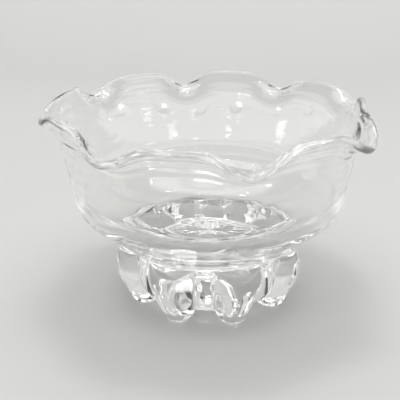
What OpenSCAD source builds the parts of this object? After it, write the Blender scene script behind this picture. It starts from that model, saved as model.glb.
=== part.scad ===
// Footed dessert bowl with a hand ruffled lip, one piece of clear glass.
// Millimetres, +Z up. The toes stand on z = 0 and the bowl's axis is the z axis.

/* [Body] */
// Outer radius of the wall at its lower corner
corner_radius = 48.7; // [45:0.1:53]
// Height of the lower corner above the table
corner_height = 38; // [36:0.5:42]
// How far the wall leans out from upright, in degrees
wall_lean = 9.6; // [4:0.2:14]
// Thickness of the wall and of the lip
wall = 2.6; // [2:0.1:3.4]
// Thickness of the sloping underside, where the wall turns in to the foot
slope_wall = 3.6; // [3:0.1:5]
// Half length of the rounding at the lower corner
corner_round = 3.5; // [2:0.25:5]
// Height of the inside floor at the axis
floor_height = 28; // [26:0.25:29]
// Half length of the wide rounding between the inside slope and the floor
floor_round = 12; // [8:0.5:14]

/* [Ruffled lip] */
// Height at which the wall ends and the lip starts to turn
neck_height = 55.5; // [50:0.5:60]
// Length of the lip, measured along its section
lip_length = 17.4; // [14:0.2:20]
// Extra share of that length on the high parts between two crimps
lip_stretch = 0.09; // [0:0.01:0.3]
// Number of crimps pressed into the lip
crimps = 8; // [6:1:10]
// Direction of the first crimp, in degrees from +X
first_crimp = 16; // [0:1:44]
// How far the lip turns outwards on the high parts, in degrees
crest_turn = 14; // [0:1:30]
// How far the lip turns outwards at a crimp, in degrees
crimp_turn = 84; // [50:1:95]
// How much of the turn comes near the edge, 1 is an even curve
lip_curl = 2.3; // [1:0.1:3]
// How narrow a crimp is, higher is narrower
crimp_power = 2.3; // [1:0.1:4]
// Radius of the rounded, fire polished edge
edge_radius = 1.45; // [1:0.05:1.8]
// How uneven the hand work is, 0 makes eight equal crimps
hand = 1; // [0:0.1:1]
// Sideways shift of each crimp in turn, in degrees
crimp_shift = [7, 2, -1, -4, -4, 0, 0, 1];
// Extra turn of each crimp, in degrees
crimp_extra = [6, 20, 16, 8, -18, 6, 24, 20];
// Extra turn of the high part that follows each crimp, in degrees
crest_extra = [20, 2, -6, -2, 4, 20, 18, -14];

/* [Foot] */
// Number of toes, and of the lobes that run down to them
toes = 8; // [6:1:10]
// Height of the groove between the underside and the foot
joint_height = 23.2; // [21.6:0.2:24.4]
// Radius of that groove
joint_radius = 31.2; // [29.4:0.3:33]
// Largest radius of the lobes
lobe_radius = 36; // [34:0.5:39]
// Height of that largest radius
lobe_height = 16.4; // [14:0.2:18]
// Outer radius of a toe where it starts to round under
toe_radius = 31.6; // [30:0.2:33]
// Height of that place
toe_height = 4.4; // [4:0.2:6]
// Outer radius of the flat a toe stands on
toe_flat_outer = 26; // [25:0.2:28]
// Inner radius of that flat
toe_flat_inner = 22; // [20:0.2:24]
// Depth of the valley between two lobes, at the height where they are widest
valley_top = 5; // [2:0.1:5.6]
// Depth of the same valley at the table
valley_bottom = 5.4; // [2.6:0.1:6]
// Width of a lobe at the groove, as a share of the distance to the next lobe
lobe_share = 0.76; // [0.6:0.02:0.9]
// The same share at the toes
toe_share = 0.6; // [0.5:0.02:0.8]
// Height of the arch between two toes
arch = 4.5; // [3:0.25:5]
// Height of the ceiling of the hollow under the foot
hollow = 17; // [13:0.25:20]
// How far the wall of that hollow leans in from upright, in degrees
hollow_draft = 20; // [10:1:30]
// Depth of the rays of the star pressed into the ceiling, two for each toe
star_depth = 1.8; // [0.4:0.1:2.4]

/* [Hidden] */
// directions of the sections in half a lobe, as shares from the toe to the valley
// they are closest where the lobe ends, and one is on the middle of a ray of the star
spread = [0, 0.17, 0.34, 0.5, 0.63, 0.76, 0.88, 1];
flat_share = spread[1];
half_count = len(spread) - 1;
sectors = 2 * half_count * toes;
lobe_half = 180 / toes;
half = wall / 2;
lip_steps = 6;
edge_steps = 5;
// half length of the rounding inside the lower corner
inner_round = 7;
// the wall's outer face as a line, and the middle of the wall at the neck
function wall_r(z) = corner_radius + tan(wall_lean) * (z - corner_height);
neck_r = wall_r(neck_height) - half / cos(wall_lean);
// direction from the groove up the underside to the lower corner
slope = atan2(corner_height - joint_height, corner_radius - joint_radius);
// the same underside moved in by its thickness gives the inside slope
function slope_z(r) = joint_height + slope_wall / cos(slope) + (r - joint_radius) * tan(slope);
// where the inside wall and the inside slope would meet
function inside_r(z) = wall_r(z) - wall / cos(wall_lean);
inner_corner_z = (slope_z(inside_r(0))) / (1 - tan(slope) * tan(wall_lean));
inner_corner = [inside_r(inner_corner_z), inner_corner_z];
// where the inside slope would meet the flat floor
heel = [joint_radius + (floor_height - slope_z(joint_radius)) / tan(slope), floor_height];
// the two inside roundings never run into each other
heel_round = min(floor_round, norm(inner_corner - heel) - inner_round - 1);

// point at share t of a quadratic curve from a to c that b pulls
function bend(a, b, c, t) = (1 - t) * (1 - t) * a + 2 * t * (1 - t) * b + t * t * c;
function bend_points(a, b, c, n, from = 1) = [for (i = [from:n]) bend(a, b, c, i / n)];
function ease(t) = t * t * (3 - 2 * t);

// Foot
// direction of section i, the valleys are at +X and every whole lobe on from there
function direction(i) =
    let (
        lobe = floor(i / (2 * half_count)),
        j = i - lobe * 2 * half_count,
        share = j <= half_count ? -spread[half_count - j] : spread[j - half_count]
    )
    lobe_half * (2 * lobe + 1 + share);
// share of the way from the nearest toe to the valley's middle
function from_toe(a) = abs(a % (2 * lobe_half) - lobe_half) / lobe_half;
// 1 on the crest of a lobe, a dome down to its edge and 0 over the flat of the valley
function dome(x, share) =
    let (y = 1 - x * x / share / share)
    (y + sqrt(y * y + 0.02)) / (1 + sqrt(1.02));
// 1 over the flat that a toe stands on, 0 over the web between two toes
function toe(a) = min(1, dome(max(0, from_toe(a) - flat_share) / (1 - flat_share), toe_share));
// 1 along the middle of a ray of the star, 0 on the ridge between two rays
function ray(a) = 1 - abs(2 * from_toe(a) - 1);
// outline of a lobe, from the toe's flat up to the groove
toe_knee = [toe_radius - toe_height * 0.22, 0];
lobe_outline = concat(
    [[toe_flat_outer, 0]],
    bend_points([toe_flat_outer, 0], toe_knee, [toe_radius, toe_height], 4),
    bend_points([toe_radius, toe_height], [lobe_radius, (toe_height + lobe_height) / 2 + 1.5],
        [lobe_radius, lobe_height], 4),
    bend_points([lobe_radius, lobe_height], [lobe_radius, joint_height],
        [joint_radius, joint_height], 4)
);
// the outline is drawn in by the valley, and lifted by the arch close to the table
// the valley runs out at the groove above and at the inside of the toe's flat below
function foot_point(p, a) =
    let (
        up = min(1, p[1] / lobe_height),
        cut = (valley_bottom + (valley_top - valley_bottom) * up)
            * (1 - dome(from_toe(a), toe_share + (lobe_share - toe_share) * up)),
        shoulder = (p[0] - joint_radius) / (lobe_radius - joint_radius),
        heel_of_toe = min(1, (p[0] - toe_flat_inner) / (toe_radius - toe_flat_inner)),
        lift = arch * (1 - toe(a)) * max(0, 1 - p[1] / (1.6 * toe_height))
    )
    [p[0] - cut * (p[1] > lobe_height ? shoulder : heel_of_toe), p[1] + lift];
// the hollow's wall as a line from just inside the toes up to the rounding below the ceiling
brim = [toe_flat_inner - 0.8, arch + 1.5];
ceiling_round = 2.2;
ceiling_corner = [brim[0] - (hollow - brim[1]) * tan(hollow_draft), hollow];
star_radius = ceiling_corner[0] - ceiling_round;
wall_top = ceiling_corner + ceiling_round * [sin(hollow_draft), -cos(hollow_draft)];
// the hollow under the foot, over the star and down the wall to the toe's flat
function under_foot(a) =
    let (low = arch * (1 - toe(a)))
    concat(
        [for (share = [0.23, 0.53, 0.83])
            [star_radius * share, hollow + star_depth * ray(a) * sin(180 * share)]],
        bend_points([star_radius, hollow], ceiling_corner, wall_top, 2, 0),
        [
            brim,
            [brim[0] + 0.3, low + 0.4 * (brim[1] - low)],
            [toe_flat_inner, low]
        ]
    );

// Lip
// directions of the crimps as hand work left them, counted from the first one
crimp_at = [for (k = [0:crimps]) k * 360 / crimps + hand * (crimp_shift[k % crimps % 8] - crimp_shift[0])];
crimp_zero = first_crimp + hand * crimp_shift[0];
// how far the lip has turned out at its edge, and how long it is there: [degrees, length]
function lip_at(a) =
    let (
        u = (a - crimp_zero + 720) % 360,
        k = len([for (i = [1:crimps - 1]) if (crimp_at[i] <= u) i]),
        f = (u - crimp_at[k]) / (crimp_at[k + 1] - crimp_at[k]),
        pinch = pow((1 + cos(360 * f)) / 2, crimp_power),
        here = crimp_extra[k % 8] * (1 - ease(f)) + crimp_extra[(k + 1) % crimps % 8] * ease(f),
        high = crest_turn + hand * crest_extra[k % 8],
        low = crimp_turn + hand * here
    )
    [high * (1 - pinch) + low * pinch, lip_length * (1 + lip_stretch * (1 - pinch))];
// heading of the lip at share t of its length, in degrees out from upright
function heading(turn, t) = wall_lean + turn * pow(t, lip_curl);
// middle of the lip's thickness after i steps, each step follows the heading halfway along it
function lip_middle(turn, long, i) =
    i == 0
        ? [neck_r, neck_height]
        : let (lean = heading(turn, (i - 0.5) / lip_steps))
            lip_middle(turn, long, i - 1) + long / lip_steps * [sin(lean), cos(lean)];
// direction square to a heading, towards the outer face
function out_from(lean) = [cos(lean), -sin(lean)];
// one face of the lip, side 1 is the outer face and side -1 the inner one
function lip_face(turn, long, i, side) =
    let (
        t = i / lip_steps,
        thick = half + (edge_radius - half) * t * t
    )
    lip_middle(turn, long, i) + side * thick * out_from(heading(turn, t));
// up the outer face, over the rounded edge and down the inner face
function lip_section(a) =
    let (
        at = lip_at(a),
        turn = at[0],
        long = at[1],
        tip = lip_middle(turn, long, lip_steps)
    )
    concat(
        [for (i = [0:lip_steps]) lip_face(turn, long, i, 1)],
        [for (i = [1:edge_steps - 1])
            tip + edge_radius * out_from(wall_lean + turn - 180 * i / edge_steps)],
        [for (i = [lip_steps:-1:0]) lip_face(turn, long, i, -1)]
    );

// Body
// straight up the underside from the groove, round the lower corner and on to the wall
corner = [corner_radius, corner_height];
slope_end = corner - corner_round * [cos(slope), sin(slope)];
wall_start = corner + corner_round * [sin(wall_lean), cos(wall_lean)];
body_outline = bend_points(slope_end, corner, wall_start, 3, 0);
// down the inside wall, round its corner, down the slope and out flat over the floor
inside_outline = concat(
    bend_points(inner_corner + inner_round * [sin(wall_lean), cos(wall_lean)], inner_corner,
        inner_corner - inner_round * [cos(slope), sin(slope)], 3, 0),
    bend_points(heel + heel_round * [cos(slope), sin(slope)], heel,
        heel - [heel_round, 0], 4, 0)
);

// Whole section at direction a, from the hollow under the foot to the inside floor
function section(a) = concat(
    under_foot(a),
    [for (p = lobe_outline) foot_point(p, a)],
    body_outline,
    lip_section(a),
    inside_outline
);

// One solid swept round the axis through its sections
module bowl() {
    around = [for (i = [0:sectors - 1]) section(direction(i))];
    size = len(around[0]);
    points = concat(
        [for (i = [0:sectors - 1]) for (p = around[i])
            [p[0] * cos(direction(i)), p[0] * sin(direction(i)), p[1]]],
        [[0, 0, hollow], [0, 0, floor_height]]
    );
    under = sectors * size;
    inside = under + 1;
    faces = [
        for (i = [0:sectors - 1])
            let (
                here = i * size,
                next = (i + 1) % sectors * size
            )
            each concat(
                [[under, here, next]],
                [for (j = [0:size - 2]) each [
                    [here + j, here + j + 1, next + j + 1],
                    [here + j, next + j + 1, next + j]
                ]],
                [[here + size - 1, inside, next + size - 1]]
            )
    ];
    color([0.86, 0.89, 0.87, 0.5])
        polyhedron(points = points, faces = faces, convexity = 8);
}

bowl();
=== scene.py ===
import math

import bpy
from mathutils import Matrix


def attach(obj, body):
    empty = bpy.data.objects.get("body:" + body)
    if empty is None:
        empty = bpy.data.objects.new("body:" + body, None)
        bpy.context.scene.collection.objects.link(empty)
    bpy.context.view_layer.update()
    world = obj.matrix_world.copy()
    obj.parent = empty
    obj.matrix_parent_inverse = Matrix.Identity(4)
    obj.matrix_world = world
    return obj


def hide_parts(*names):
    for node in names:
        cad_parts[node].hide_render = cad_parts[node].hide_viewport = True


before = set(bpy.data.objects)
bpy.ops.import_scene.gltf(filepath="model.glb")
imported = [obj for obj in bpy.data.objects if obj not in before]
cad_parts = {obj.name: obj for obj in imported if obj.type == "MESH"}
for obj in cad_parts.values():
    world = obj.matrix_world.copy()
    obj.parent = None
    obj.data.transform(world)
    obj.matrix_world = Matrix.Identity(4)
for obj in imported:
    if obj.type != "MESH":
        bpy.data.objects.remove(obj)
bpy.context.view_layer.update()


# Bowl of clear pressed glass.
# The body and its lobed foot come out of one mould; the lip was ruffled by hand while still soft.
# Its section is worked out in millimetres, direction by direction, so that it is one smooth skin.
LOBES = 8
PITCH = 360 / LOBES
# The wall leans out from the lower corner up to the neck, where the lip begins.
WALL_LEAN = math.radians(9.6)
WALL = 2.6
CORNER = (48.7, 38.0)
GROOVE = (31.2, 23.2)
SLOPE = math.atan2(CORNER[1] - GROOVE[1], CORNER[0] - GROOVE[0])
SLOPE_WALL = 3.6
FLOOR = 28.0
NECK = 55.5
NECK_RADIUS = CORNER[0] + math.tan(WALL_LEAN) * (NECK - CORNER[1])


def ease(t):
    """A soft start and a soft stop between 0 and 1; it stays at either end outside them."""
    t = min(1, max(0, t))
    return t * t * (3 - 2 * t)


def along(a, b, t):
    """The point a share t of the way from a to b."""
    return tuple(p + (q - p) * t for p, q in zip(a, b))


def bend(a, b, c, count, first=1):
    """Points of the curve from a to c that b pulls."""
    out = []
    for i in range(first, count + 1):
        t = i / count
        near, pull, far = (1 - t) ** 2, 2 * t * (1 - t), t * t
        out.append(tuple(near * p + pull * q + far * r for p, q, r in zip(a, b, c)))
    return out


# The hollow under the foot: its brim, the draft of its wall, its ceiling and the star pressed in it.
BRIM = (21.2, 6.0)
DRAFT = math.radians(20)
CEILING = 17.0
CEILING_ROUND = 2.2
RAY = 1.8
FLUTE = 0.7
FLUTES = 32
STAR_STEPS = 30

# A lobe of the foot: the toe's inner edge and tip, the points and pulls of the lobe's curve,
# the toe's share of the lobe, and the depth of the valley and of the web between two toes.
TOE_INNER = 22
TOE_TIP = (26, 0)
TOE_PULL = (30.63, 0)
LOBE_LOW = (31.6, 4.4)
SIDE_PULL = (36, 11.9)
LOBE_SIDE = (36, 16.4)
TOE_FLAT = 0.17
TOE_SHARE = 0.6
VALLEY_DEPTH = 5.4
WEB = 4.5
WEB_TOP = 7.04


def dome(x, share):
    """1 on the crest of a lobe, down to 0 over the flat of the valley, with a soft bend between."""
    soft = 0.02
    y = 1 - (x / share) ** 2
    return (y + math.sqrt(y * y + soft)) / (1 + math.sqrt(1 + soft))


def foot(angle):
    """Over the fluted star, down the hollow's wall, over the toe and up the lobe to the groove."""
    x = abs(angle % PITCH - PITCH / 2) / (PITCH / 2)
    toe = min(1, dome(max(0, x - TOE_FLAT) / (1 - TOE_FLAT), TOE_SHARE))
    web = WEB * (1 - toe)
    corner = (BRIM[0] - (CEILING - BRIM[1]) * math.tan(DRAFT), CEILING)
    star = corner[0] - CEILING_ROUND
    ray = RAY * (1 - abs(2 * x - 1))
    flute = FLUTE * (1 - abs(angle * FLUTES / 180 % 2 - 1))
    out = []
    for i in range(1, STAR_STEPS):
        t = i / STAR_STEPS
        groove = flute * math.sin(4 * math.pi * t) ** 2 * ease(2.5 * t)
        out.append((star * t, CEILING + ray * math.sin(math.pi * t) - groove))
    wall_top = (corner[0] + CEILING_ROUND * math.sin(DRAFT), CEILING - CEILING_ROUND * math.cos(DRAFT))
    out += bend((star, CEILING), corner, wall_top, 8, 0)
    out += [along(wall_top, BRIM, i / 3) for i in (1, 2, 3)]
    out += bend(BRIM, (21.5, web + 0.4 * (BRIM[1] - web)), (TOE_INNER, web), 6)
    lobe = [TOE_TIP]
    lobe += bend(TOE_TIP, TOE_PULL, LOBE_LOW, 12)
    lobe += bend(LOBE_LOW, SIDE_PULL, LOBE_SIDE, 12)
    lobe += bend(LOBE_SIDE, (LOBE_SIDE[0], GROOVE[1]), GROOVE, 14)
    for r, z in lobe:
        up = min(1, z / LOBE_SIDE[1])
        cut = (VALLEY_DEPTH - 0.4 * up) * (1 - dome(x, TOE_SHARE + 0.16 * up))
        if z > LOBE_SIDE[1]:
            cut *= (r - GROOVE[0]) / (LOBE_SIDE[0] - GROOVE[0])
        else:
            cut *= min(1, (r - TOE_INNER) / (LOBE_LOW[0] - TOE_INNER))
        out.append((r - cut, z + web * max(0, 1 - z / WEB_TOP)))
    return out


def body():
    """Up the sloping underside, round the lower corner and on to the wall."""
    round_off = 3.5
    low = (CORNER[0] - round_off * math.cos(SLOPE), CORNER[1] - round_off * math.sin(SLOPE))
    high = (CORNER[0] + round_off * math.sin(WALL_LEAN), CORNER[1] + round_off * math.cos(WALL_LEAN))
    out = [along(GROOVE, low, i / 6) for i in range(1, 7)]
    out += bend(low, CORNER, high, 10)
    out += [along(high, (NECK_RADIUS, NECK), i / 4) for i in range(1, 4)]
    return out


# The ruffled lip: its length along the skin, its edge, and the turns of its crimps and crests in degrees.
# The three lists are the small unevenness of hand work: each crimp's place and turn, and the crest after it.
LIP = 17.4
EDGE = 1.45
FIRST_CRIMP = 16
CRIMP_TURN = 84
CREST_TURN = 14
CREST_EXTRA = 0.09
SHARPNESS = 2.3
SHIFT = (7, 2, -1, -4, -4, 0, 0, 1)
CRIMP = (6, 20, 16, 8, -18, 6, 24, 20)
CREST = (20, 2, -6, -2, 4, 20, 18, -14)


def lip(angle, steps=22, round_steps=12):
    """Up the outer face and over the fire polished edge, then down the inner face."""
    places = [PITCH * k + SHIFT[k % LOBES] - SHIFT[0] for k in range(LOBES + 1)]
    u = (angle - FIRST_CRIMP - SHIFT[0]) % 360
    k = sum(1 for p in places[1:LOBES] if p <= u)
    f = (u - places[k]) / (places[k + 1] - places[k])
    pinch = ((1 + math.cos(2 * math.pi * f)) / 2) ** SHARPNESS
    crimp = CRIMP_TURN + CRIMP[k] * (1 - ease(f)) + CRIMP[(k + 1) % LOBES] * ease(f)
    turn = math.radians((CREST_TURN + CREST[k]) * (1 - pinch) + crimp * pinch)
    step = LIP * (1 + CREST_EXTRA * (1 - pinch)) / steps
    r = NECK_RADIUS - WALL / 2 / math.cos(WALL_LEAN)
    z = NECK
    outer, inner = [], []
    for i in range(steps + 1):
        t = i / steps
        lean = WALL_LEAN + turn * t ** SHARPNESS
        thick = WALL / 2 + (EDGE - WALL / 2) * t * t
        outer.append((r + thick * math.cos(lean), z - thick * math.sin(lean)))
        inner.append((r - thick * math.cos(lean), z + thick * math.sin(lean)))
        if i < steps:
            lean = WALL_LEAN + turn * ((i + 0.5) / steps) ** SHARPNESS
            r += step * math.sin(lean)
            z += step * math.cos(lean)
    for i in range(1, round_steps):
        a = WALL_LEAN + turn - math.pi * i / round_steps
        outer.append((r + EDGE * math.cos(a), z - EDGE * math.sin(a)))
    return outer, inner[::-1]


def inside():
    """Down the inside wall, round its corner, down the slope and out flat over the floor."""
    round_off = 7
    wall_0 = CORNER[0] - math.tan(WALL_LEAN) * CORNER[1] - WALL / math.cos(WALL_LEAN)
    slope_0 = GROOVE[1] + SLOPE_WALL / math.cos(SLOPE) - GROOVE[0] * math.tan(SLOPE)
    z = (slope_0 + wall_0 * math.tan(SLOPE)) / (1 - math.tan(SLOPE) * math.tan(WALL_LEAN))
    corner = (wall_0 + math.tan(WALL_LEAN) * z, z)
    heel = ((FLOOR - slope_0) / math.tan(SLOPE), FLOOR)
    top = (corner[0] + round_off * math.sin(WALL_LEAN), corner[1] + round_off * math.cos(WALL_LEAN))
    neck = (top[0] + math.tan(WALL_LEAN) * (NECK - top[1]), NECK)
    out = [along(neck, top, i / 12) for i in range(1, 12)]
    end = (corner[0] - round_off * math.cos(SLOPE), corner[1] - round_off * math.sin(SLOPE))
    out += bend(top, corner, end, 14, 0)
    half = min(12, math.dist(corner, heel) - 8)
    low = (heel[0] + half * math.cos(SLOPE), heel[1] + half * math.sin(SLOPE))
    out += bend(low, heel, (heel[0] - half, FLOOR), 18, 0)
    out.append(((heel[0] - half) / 2, FLOOR))
    return out


# The slow rings in the inner skin: their spacing, their depth near the edge and lower down,
# and how far down the skin each kind begins to fade.
RING_PITCH = 4.5
RING_DEPTH = 0.14
RING_END = 11
LOW_RING_DEPTH = 0.01
LOW_RING_END = 48
RING_FOLLOW = 0.55
CREST_HEIGHT = 68


def rings(points, crest):
    """The slow rings that the hot skin kept: they follow the ruffle and die out toward the floor."""
    out = [points[0]]
    run = RING_FOLLOW * (crest - CREST_HEIGHT)
    for back, (r, z), ahead in zip(points, points[1:], points[2:]):
        run += math.dist(back, (r, z))
        side = math.atan2(ahead[1] - back[1], ahead[0] - back[0])
        past = ease((run - RING_END) / 6)
        deep = RING_DEPTH * ease(run / 6) * (1 - past)
        deep += LOW_RING_DEPTH * past * (1 - ease((run - LOW_RING_END) / 8))
        deep *= math.sin(2 * math.pi * run / RING_PITCH)
        out.append((r - deep * math.sin(side), z + deep * math.cos(side)))
    return out + [points[-1]]


# Twelve directions to each flute, so that every flute keeps its crest and its valley.
sectors = 12 * FLUTES
around = []
for i in range(sectors):
    angle = 360 * i / sectors
    outer, inner = lip(angle)
    crest = max(z for r, z in outer + inner)
    around.append(foot(angle) + body() + outer + rings(inner + inside(), crest))
count = len(around[0])
verts = []
for i, section in enumerate(around):
    a = 2 * math.pi * i / sectors
    verts += [(r * math.cos(a) / 1000, r * math.sin(a) / 1000, z / 1000) for r, z in section]
under = len(verts)
over = under + 1
verts += [(0, 0, CEILING / 1000), (0, 0, FLOOR / 1000)]
faces = []
for i in range(sectors):
    here = i * count
    there = (i + 1) % sectors * count
    faces.append((under, there, here))
    faces += [(here + j, there + j, there + j + 1, here + j + 1) for j in range(count - 1)]
    faces.append((here + count - 1, there + count - 1, over))
mesh = bpy.data.meshes.new("glass_bowl")
mesh.from_pydata(verts, [], faces)
mesh.validate()
mesh.shade_smooth()
bowl = bpy.data.objects.new("glass_bowl", mesh)
bpy.context.scene.collection.objects.link(bowl)
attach(bowl, "root")
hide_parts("bowl")


# Clear soda glass, pressed and then fire polished.
# It is all but colourless, and the polish gives the eye sharp glints and edges that bend what is behind.
# The skin kept slow waves about 26 mm long, too shallow for the mesh, so they are a bump in the material.
def linear(code):
    """A hex colour as linear values."""
    parts = [int(code[i:i + 2], 16) / 255 for i in (1, 3, 5)]
    return [p / 12.92 if p <= 0.04045 else ((p + 0.055) / 1.055) ** 2.4 for p in parts] + [1]


def node(tree, kind, links=(), **settings):
    """Adds a node; a link is (from socket, to input name)."""
    made = tree.nodes.new(kind)
    for name, value in settings.items():
        if name in made.inputs.keys() or name.replace("_", " ") in made.inputs.keys():
            made.inputs[name.replace("_", " ")].default_value = value
        else:
            setattr(made, name, value)
    for source, target in links:
        tree.links.new(source, made.inputs[target])
    return made


waves_per_metre = 38.0
glass = bpy.data.materials.new("clear_pressed_glass")
glass.use_nodes = True
tree = glass.node_tree
shader = tree.nodes["Principled BSDF"]
shader.inputs["Base Color"].default_value = linear("#fcfcfb")
shader.inputs["Transmission Weight"].default_value = 1.0
shader.inputs["Roughness"].default_value = 0.01
shader.inputs["IOR"].default_value = 1.5
place = node(tree, "ShaderNodeTexCoord")
skin = [(place.outputs["Object"], "Vector")]
waves = node(tree, "ShaderNodeTexNoise", skin, Scale=waves_per_metre, Detail=1.0)
bump = node(tree, "ShaderNodeBump", [(waves.outputs["Fac"], "Height")], Strength=0.25, Distance=0.0006)
tree.links.new(bump.outputs["Normal"], shader.inputs["Normal"])
bowl.data.materials.append(glass)


# Table and backdrop.
# One sheet of pale card that lies flat under the bowl and sweeps up behind it.
# Its matt surface takes a soft shadow and mirrors nothing.
front = -0.6
back = 0.4
sweep = 0.3
top = 1.0
half_width = 1.2
profile = [(front, 0), (back, 0)]
for degrees in range(6, 91, 6):
    a = math.radians(degrees)
    profile.append((back + sweep * math.sin(a), sweep - sweep * math.cos(a)))
profile.append((back + sweep, top))
verts = [(x, y, z) for y, z in profile for x in (-half_width, half_width)]
faces = [(2 * i, 2 * i + 1, 2 * i + 3, 2 * i + 2) for i in range(len(profile) - 1)]
mesh = bpy.data.meshes.new("card")
mesh.from_pydata(verts, [], faces)
mesh.shade_smooth()
card = bpy.data.objects.new("card", mesh)
bpy.context.scene.collection.objects.link(card)
paper = bpy.data.materials.new("pale_card")
paper.use_nodes = True
shader = paper.node_tree.nodes["Principled BSDF"]
shader.inputs["Base Color"].default_value = linear("#d0d0cf")
shader.inputs["Roughness"].default_value = 0.9
card.data.materials.append(paper)


# Soft studio light: most of it comes from the room itself, which is set after the lamps.
# A small lamp overhead and eight smaller ones round it put the glints in the foot and the edge.
# Behind the camera four weak round panels give the far wall its soft spots, and six small lamps its dots.
def lamp(name, where, size, watts):
    """A round lamp that faces the bowl."""
    data = bpy.data.lights.new(name, "AREA")
    data.shape = "ELLIPSE"
    data.size, data.size_y = size
    data.energy = watts
    made = bpy.data.objects.new(name, data)
    made.location = where
    aim = -made.location
    made.rotation_euler = aim.to_track_quat("-Z", "Y").to_euler()
    bpy.context.scene.collection.objects.link(made)


def front_lamp(name, turn, high, size, watts):
    """A lamp behind the camera; the turn is in degrees from straight in front, to the right."""
    distance = 1.8
    a = math.radians(turn)
    lamp(name, (distance * math.sin(a), -distance * math.cos(a), high), size, watts)


lamp("overhead", (0, 0.05, 0.8), (0.2, 0.12), 1.0)
ring_radius = 0.45
for i in range(8):
    a = math.radians(45 * i + 22.5)
    lamp("ring", (ring_radius * math.cos(a), ring_radius * math.sin(a), 0.8), (0.035, 0.035), 0.1)
panels = [(-64, 0.1, 0.3, 0.08), (-14, 0.15, 0.2, 0.05), (38, 0.12, 0.3, 0.06), (62, 0.2, 0.35, 0.1)]
watts_per_area = 10
for turn, high, wide, tall in panels:
    front_lamp("panel", turn, high, (wide, tall), watts_per_area * wide * tall)
for turn, high in ((-64, 0.6), (-23, 0.32), (17, 0.32), (46, 0.32), (80, 0.32), (100, 0.32)):
    front_lamp("glint", turn, high, (0.14, 0.04), 1.0)

# The room is bright low down all round, dim above that and pale at the ceiling.
# The dim part is the grey band that the flared lip mirrors.
# Each band is a height from -1, straight down, to 1, straight up, and a colour.
world = bpy.data.worlds.new("room")
world.use_nodes = True
bpy.context.scene.world = world
tree = world.node_tree
way = node(tree, "ShaderNodeTexCoord")
parts = node(tree, "ShaderNodeSeparateXYZ", [(way.outputs["Generated"], "Vector")])
height = node(tree, "ShaderNodeMapRange", [(parts.outputs["Z"], "Value")], From_Min=-1.0, From_Max=1.0)
room = node(tree, "ShaderNodeValToRGB", [(height.outputs["Result"], "Fac")])
room.color_ramp.elements[0].color = linear("#7a7a7a")
room.color_ramp.elements[1].color = linear("#ffffff")
bands = [(-0.3, "#7a7a7a"), (-0.12, "#ececec"), (0.34, "#ececec"), (0.4, "#1c1c1c"), (0.82, "#1c1c1c")]
bands += [(0.88, "#ffffff"), (0.955, "#ffffff")]
bands += [(0.965, "#909090"), (0.98, "#909090"), (0.985, "#ffffff")]
for level, code in bands:
    mark = room.color_ramp.elements.new((level + 1) / 2)
    mark.color = linear(code)
tree.links.new(room.outputs["Color"], tree.nodes["Background"].inputs["Color"])
tree.nodes["Background"].inputs["Strength"].default_value = 2.2
bpy.context.scene.view_settings.view_transform = "Standard"
# Light has to pass many faces of the thick foot and of the curled lip before it leaves the glass.
bpy.context.scene.cycles.max_bounces = 40
bpy.context.scene.cycles.glossy_bounces = 32
bpy.context.scene.cycles.transmission_bounces = 32


# Camera at the photograph's viewing angle, a little to the right of the front and above the lip.
data = bpy.data.cameras.new("camera")
data.sensor_width = 36
data.lens = 65.1
data.shift_x = -0.0238
data.clip_start = 0.01
camera = bpy.data.objects.new("camera", data)
distance = 0.27
aim_height = 0.0373
lift = math.radians(21.38)
side = math.radians(3.7)
reach = distance * math.cos(lift)
camera.location = (reach * math.sin(side), -reach * math.cos(side), aim_height + distance * math.sin(lift))
camera.rotation_euler = (math.pi / 2 - lift, 0, side)
bpy.context.scene.collection.objects.link(camera)
bpy.context.scene.camera = camera
